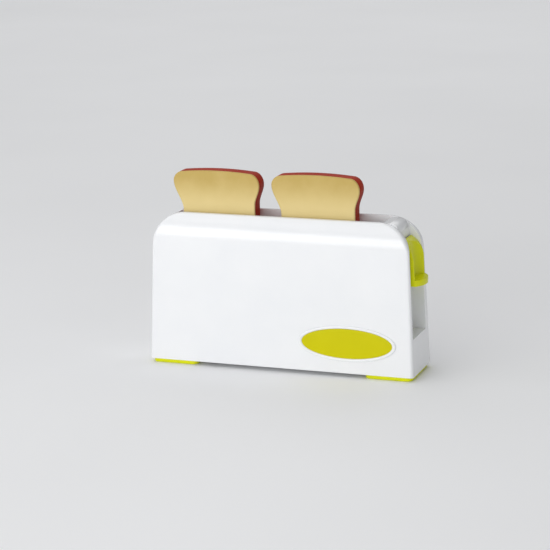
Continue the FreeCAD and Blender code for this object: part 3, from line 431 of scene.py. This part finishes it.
def side_curve(flare, shoulder, neck):
    """One side of a slice as (out, up) pairs: straight, an S-bend, then a round shoulder."""
    half = SLICE_WIDTH / 2
    top = SLICE_HEIGHT - CROWN_RISE
    widest = SLICE_HEIGHT - shoulder
    narrow = SLICE_HEIGHT - neck
    curve = [(half, narrow * i / SIDE_STEPS) for i in range(SIDE_STEPS)]
    for i in range(BEND_STEPS):
        share = i / BEND_STEPS
        curve.append((half + flare * share ** 2 * (3 - 2 * share),
                      narrow + (widest - narrow) * share))
    for back, rise in quarter(1, SHOULDER_STEPS):
        curve.append((half + flare - SHOULDER_REACH * back, widest + (top - widest) * rise))
    return curve


def slice_outline():
    """Front view of a slice as (x, z) pairs about the middle of its bottom, counter-clockwise."""
    half = SLICE_WIDTH / 2
    right = side_curve(FLARE_RIGHT, SHOULDER_RIGHT, NECK_RIGHT)
    left = side_curve(FLARE_LEFT, SHOULDER_LEFT, NECK_LEFT)
    points = [(-half + 2 * half * i / BOTTOM_STEPS, 0) for i in range(BOTTOM_STEPS)]
    points += right
    start, top = right[-1]
    end = -left[-1][0]
    for i in range(1, CROWN_STEPS):
        share = i / CROWN_STEPS
        points.append((start + (end - start) * share,
                       top + CROWN_RISE * (1 - (2 * share - 1) ** 2)))
    points += [(-out, up) for out, up in reversed(left[1:])]
    return points


def inset(points, distance):
    """An outline pulled in by a distance, point by point along its own normals."""
    result = []
    for i, here in enumerate(points):
        before = Vector(points[i - 1])
        after = Vector(points[(i + 1) % len(points)])
        first = (Vector(here) - before).normalized()
        last = (after - Vector(here)).normalized()
        along = (first + last).normalized()
        stretch = max(along.dot(first), STRETCH_LIMIT)
        result.append((here[0] - along.y * distance / stretch,
                       here[1] + along.x * distance / stretch))
    return result


def bread(number):
    """One slice: a pale face with a softened edge and a red-brown crust with a round back."""
    low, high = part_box(f"slice_{number}_crust")
    face_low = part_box(f"slice_{number}_crumb")[0]
    outline = slice_outline()
    reach_left = SLICE_WIDTH / 2 + FLARE_LEFT
    body = f"slice_{number}"

    def ring(y, distance):
        return [Vector((low.x + reach_left + x, y, low.z + z)) for x, z in inset(outline, distance)]

    crust = Build()
    hollow = [ring(high.y - CRUST_WALL, CRUST_WALL), ring(low.y, CRUST_WALL)]
    lip = [ring(low.y, CRUST_LIP), ring(low.y + CRUST_LIP_MIDDLE, CRUST_LIP_MIDDLE),
           ring(low.y + CRUST_LIP, 0)]
    back_edge = [ring(high.y - CRUST_ROUND + rise, back)
                 for back, rise in quarter(CRUST_ROUND, steps=6)]
    crust.loft(hollow + lip + back_edge)
    piece(f"{body}_crust_shell", crust, CRUST, body, [f"slice_{number}_crust"])
    crumb = Build()
    rear = [ring(low.y - gap, back) for back, gap in CRUMB_BACK]
    front_edge = [ring(face_low.y + CRUMB_ROUND - rise, back)
                  for back, rise in quarter(CRUMB_ROUND, steps=5)]
    crumb.loft(rear + front_edge)
    piece(f"{body}_crumb_face", crumb, CRUMB, body, [f"slice_{number}_crumb"])


# ------------------------------------------------------------------ badge

FRONT_LEAN = math.radians(2.1)  # lean of the front face
BORDER_SIDE = 2.6 * MM          # width of the border at the oval's ends, and at its top
BORDER_TOP = 2.1 * MM
BADGE_STEPS = 120
BADGE_HEIGHT = 0.98             # share of the CAD badge's height off the face

# Section of the border, as shares of its width from outside and of its height
BORDER_SECTION = (
    (0.0, 0.0), (0.01, 0.45), (0.06, 0.72), (0.17, 0.9), (0.34, 0.985), (0.5, 1.0),
    (0.66, 0.97), (0.82, 0.84), (0.93, 0.62), (0.98, 0.4), (1.0, 0.0),
)

# Dome of the oval, as shares of its half width and of its height
OVAL_SECTION = (
    (1.0, 0.0), (1.0, 0.55), (0.985, 0.72), (0.96, 0.8), (0.8, 0.86), (0.55, 0.92),
    (0.3, 0.96), (0.1, 0.98),
)


def badge_frame(node):
    """Middle of an oval on the leaning front face, its half axes and its height off the face."""
    low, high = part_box(node)
    half_x = (high.x - low.x) / 2
    depth = high.y - low.y
    tall = high.z - low.z
    proud = (depth - tall * math.tan(FRONT_LEAN)) / math.cos(FRONT_LEAN)
    half_v = tall / 2 / math.cos(FRONT_LEAN)
    middle = Vector(((low.x + high.x) / 2, (low.y + high.y) / 2 + proud / 2,
                     (low.z + high.z) / 2))
    return middle, half_x, half_v, proud


def on_front(middle, along, up, out):
    """A point on the leaning front face, with out counted away from it."""
    return middle + Vector((along, up * math.sin(FRONT_LEAN) - out * math.cos(FRONT_LEAN),
                            up * math.cos(FRONT_LEAN) + out * math.sin(FRONT_LEAN)))


def badge_border():
    """Raised white border with a rounded section."""
    middle, half_x, half_v, proud = badge_frame("badge_border")

    def section(turn):
        return [on_front(middle, math.cos(turn) * (half_x - share * BORDER_SIDE),
                         math.sin(turn) * (half_v - share * BORDER_TOP),
                         height * proud * BADGE_HEIGHT) for share, height in BORDER_SECTION]

    made = Build()
    made.round_loft([section(turn) for turn in turns(BADGE_STEPS)])
    piece("badge_border_ring", made, WHITE, "housing", ["badge_border"], smooth=60)


def badge_plate():
    """Slightly domed lime oval, left bare."""
    middle, half_x, half_v, proud = badge_frame("badge_plate")

    def ring(share, height):
        return [on_front(middle, share * half_x * math.cos(turn), share * half_v * math.sin(turn),
                         height * proud * BADGE_HEIGHT) for turn in turns(BADGE_STEPS)]

    made = Build()
    made.loft([ring(share, height) for share, height in OVAL_SECTION])
    piece("badge_oval", made, BADGE, "housing", ["badge_plate"])


# ------------------------------------------------------------------ feet

FOOT_HEIGHT = 3.0 * MM
FOOT_CORNER = 4.0 * MM          # corners in plan, and the smallest that an inset leaves
FOOT_CORNER_LEAST = 0.4 * MM
FOOT_EDGE = 0.7 * MM            # rounding of the lower edge and of the upper edge
FOOT_TOP_EDGE = 0.3 * MM
FOOT_TURN_STEPS = 8             # along each corner
PEG_RADIUS = 2.0 * MM
PEG_CHAMFER = 0.4 * MM
PEG_INSET_Y = 8.6 * MM          # pegs, from the front and rear of the foot
PEG_SIDES = 32

# Sole with a grip groove: inset and rise of its rings, from the middle out
FOOT_SOLE = (
    (12.0 * MM, 0), (4.6 * MM, 0), (4.4 * MM, 0.35 * MM), (3.4 * MM, 0.35 * MM), (3.2 * MM, 0),
)


def rounded_rectangle(low, high, z, distance):
    """A closed ring with round corners, pulled in by a distance."""
    radius = max(FOOT_CORNER - distance, FOOT_CORNER_LEAST)
    ring = []
    for index, (sx, sy) in enumerate(((1, 1), (-1, 1), (-1, -1), (1, -1))):
        corner_x = (high.x if sx > 0 else low.x) - sx * (distance + radius)
        corner_y = (high.y if sy > 0 else low.y) - sy * (distance + radius)
        for step in range(FOOT_TURN_STEPS + 1):
            turn = math.pi / 2 * (index + step / FOOT_TURN_STEPS)
            ring.append(Vector((corner_x + radius * math.cos(turn),
                                corner_y + radius * math.sin(turn), z)))
    return ring


def disc(x, y, radius, z):
    """A level round ring of a peg."""
    return [Vector((x + radius * math.cos(turn), y + radius * math.sin(turn), z))
            for turn in turns(PEG_SIDES)]


def foot(node):
    """Lime foot with soft edges, a grip groove around its sole and two pegs."""
    low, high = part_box(node)
    levels = list(FOOT_SOLE)
    levels += [(back, FOOT_EDGE - rise) for back, rise in reversed(quarter(FOOT_EDGE, steps=4))]
    levels += [(back, FOOT_HEIGHT - FOOT_TOP_EDGE + rise)
               for back, rise in quarter(FOOT_TOP_EDGE, steps=3)]
    made = Build()
    made.loft([rounded_rectangle(low, high, rise, back) for back, rise in levels])
    x = (low.x + high.x) / 2
    for y in (low.y + PEG_INSET_Y, high.y - PEG_INSET_Y):
        made.loft([disc(x, y, PEG_RADIUS, FOOT_HEIGHT / 2),
                   disc(x, y, PEG_RADIUS, high.z - PEG_CHAMFER),
                   disc(x, y, PEG_RADIUS - PEG_CHAMFER, high.z)])
    piece(node + "_pad", made, LIME, "housing", [node])


# ------------------------------------------------------------------ screws

SHELL_SCREWS = 4
SCREW_SIDES = 48
HEAD_RADIUS = 2.3 * MM
HEAD_HEIGHT = 1.6 * MM
HEAD_FACE = 0.86                # share of the head's radius that its face takes
HEAD_DOME = 0.25 * MM           # how much lower the face's rim lies than its middle
HEAD_RINGS = 16
RECESS_HALF = 0.34 * MM         # half the width of the cross recess
RECESS_REACH = 1.35 * MM
RECESS_DEPTH = 0.8 * MM
SHANK_RADIUS = 1.2 * MM
THREAD_DEPTH = 0.25 * MM
THREAD_PITCH = 1.1 * MM
THREAD_RINGS = 6                # per pitch
TIP_LENGTH = 1.6 * MM
TIP_RADIUS = 0.25               # share of the shank's radius
LEAST_RADIUS = 0.02 * MM        # of a ring at a point

# Side of the head, as shares of its radius and its height
HEAD_SIDE = ((0.95, 0.45), (1.0, 0.8), (1.0, 1.0))


def screw(made, at, along, length):
    """A pan-head screw from the outer face of its head, along a unit vector, with a thread."""
    along = Vector(along)
    side = along.orthogonal().normalized()
    other = along.cross(side)

    def place(radius, turn, depth):
        return at + along * depth + (side * math.cos(turn) + other * math.sin(turn)) * radius

    def face_depth(radius, turn, share):
        across = min(abs(radius * math.cos(turn)), abs(radius * math.sin(turn)))
        in_recess = share == 0 or (across < RECESS_HALF and radius < RECESS_REACH)
        return RECESS_DEPTH if in_recess else HEAD_DOME * share ** 2

    def thread_radius(depth, share):
        """Radius with the thread's groove, at a depth and a share of a turn."""
        phase = (depth / THREAD_PITCH - share) % 1.0
        groove = THREAD_DEPTH * (1 - max(0.0, 1 - abs(phase - 0.5) * 4))
        taper = min(1.0, (length - depth) / TIP_LENGTH) * (1 - TIP_RADIUS) + TIP_RADIUS
        return (SHANK_RADIUS - groove) * taper

    rings = []
    for step in range(HEAD_RINGS + 1):
        share = step / HEAD_RINGS
        radius = HEAD_RADIUS * HEAD_FACE * share
        rings.append([place(max(radius, LEAST_RADIUS), turn, face_depth(radius, turn, share))
                      for turn in turns(SCREW_SIDES)])
    for wide, deep in HEAD_SIDE:
        rings.append([place(HEAD_RADIUS * wide, turn, HEAD_HEIGHT * deep)
                      for turn in turns(SCREW_SIDES)])
    steps = int((length - HEAD_HEIGHT) / (THREAD_PITCH / THREAD_RINGS))
    for step in range(steps + 1):
        depth = HEAD_HEIGHT + (length - HEAD_HEIGHT) * step / steps
        rings.append([place(thread_radius(depth, i / SCREW_SIDES), turn, depth)
                      for i, turn in enumerate(turns(SCREW_SIDES))])
    made.loft(rings)


def shell_screws():
    """Screws in a row, sunk in the back of the rear shell."""
    low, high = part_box("shell_screws")
    first = low.x + HEAD_RADIUS
    last = high.x - HEAD_RADIUS
    made = Build()
    for i in range(SHELL_SCREWS):
        x = first + (last - first) * i / (SHELL_SCREWS - 1)
        screw(made, Vector((x, high.y, (low.z + high.z) / 2)), (0, -1, 0), high.y - low.y)
    piece("shell_screw_set", made, STEEL, "housing", ["shell_screws"])


def base_screws():
    """Screws at the corners of the base plate, seen from below."""
    low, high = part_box("base_screws")
    made = Build()
    for x in (low.x + HEAD_RADIUS, high.x - HEAD_RADIUS):
        for y in (low.y + HEAD_RADIUS, high.y - HEAD_RADIUS):
            screw(made, Vector((x, y, low.z)), (0, 0, 1), high.z - low.z)
    piece("base_screw_set", made, STEEL, "housing", ["base_screws"])


# ------------------------------------------------------------------ springs

SPRING_TURNS = 12
SPRING_STEPS = 28               # per turn
SPRING_WIRE = 0.4 * MM          # radius of the wire
WIRE_SIDES = 8


def spring(node):
    """A return spring with closed end turns."""
    low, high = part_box(node)
    middle_x = (low.x + high.x) / 2
    radius = (high.x - low.x) / 2 - SPRING_WIRE
    bottom = low.z + SPRING_WIRE
    rise = high.z - low.z - 2 * SPRING_WIRE
    closed = 2 * SPRING_WIRE / rise

    def height(turn):
        """Height after some turns, as a share: the first and last turn rise by one wire."""
        if turn < 1:
            return closed * turn
        if turn > SPRING_TURNS - 1:
            return 1 - closed * (SPRING_TURNS - turn)
        return closed + (1 - 2 * closed) * (turn - 1) / (SPRING_TURNS - 2)

    steps = SPRING_TURNS * SPRING_STEPS
    rings = []
    for i in range(steps + 1):
        turn = SPRING_TURNS * i / steps
        angle = 2 * math.pi * turn
        out = Vector((math.cos(angle), math.sin(angle), 0))
        centre = Vector((middle_x, 0, bottom + rise * height(turn))) + out * radius
        rings.append([centre + (out * math.cos(a) + Vector((0, 0, 1)) * math.sin(a)) * SPRING_WIRE
                      for a in turns(WIRE_SIDES)])
    made = Build()
    made.loft(rings)
    coil = piece(node + "_coil", made, STEEL, "housing", [node])
    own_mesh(coil)


# ------------------------------------------------------------------ CAD pieces that stay

WELD_GAP = 0.002 * MM
EDGE_SEGMENTS = 3
EDGE_ANGLE = math.radians(35)   # edges that turn by more than this are softened

# Material of each CAD node that stays, and the width of its softened edges
FINISH = {
    "front_shell": (WHITE, 0.45 * MM),
    "rear_shell": (WHITE, 0.45 * MM),
    "lever_guide": (WHITE, 0.3 * MM),
    "end_saddle": (WHITE, 0.3 * MM),
    "liner_front": (INNER, 0.3 * MM),
    "liner_rear": (INNER, 0.3 * MM),
    "carriage": (INNER, 0.3 * MM),
    "base_plate": (BASE, 0.3 * MM),
    "lever": (LIME, 0.3 * MM),
    "guide_rod_left": (STEEL, 0.3 * MM),
    "guide_rod_right": (STEEL, 0.3 * MM),
    "stop_washers": (RUBBER, 0.2 * MM),
}


def finish_nodes():
    """Give each CAD node that stays its material, and soften its sharp edges."""
    for name, (material, width) in FINISH.items():
        node = NODES[name]
        node.data.materials.clear()
        node.data.materials.append(material)
        weld = node.modifiers.new("weld", "WELD")
        weld.merge_threshold = WELD_GAP
        soft = node.modifiers.new("edges", "BEVEL")
        soft.width = width
        soft.segments = EDGE_SEGMENTS
        soft.limit_method = "ANGLE"
        soft.angle_limit = EDGE_ANGLE
        soft.harden_normals = True
        soft.miter_outer = "MITER_ARC"


finish_nodes()
for slice_number in (1, 2):
    bread(slice_number)
badge_border()
badge_plate()
for foot_node in ("foot_left", "foot_right"):
    foot(foot_node)
shell_screws()
base_screws()
for spring_node in ("return_spring_left", "return_spring_right"):
    spring(spring_node)
studio()
make_camera()
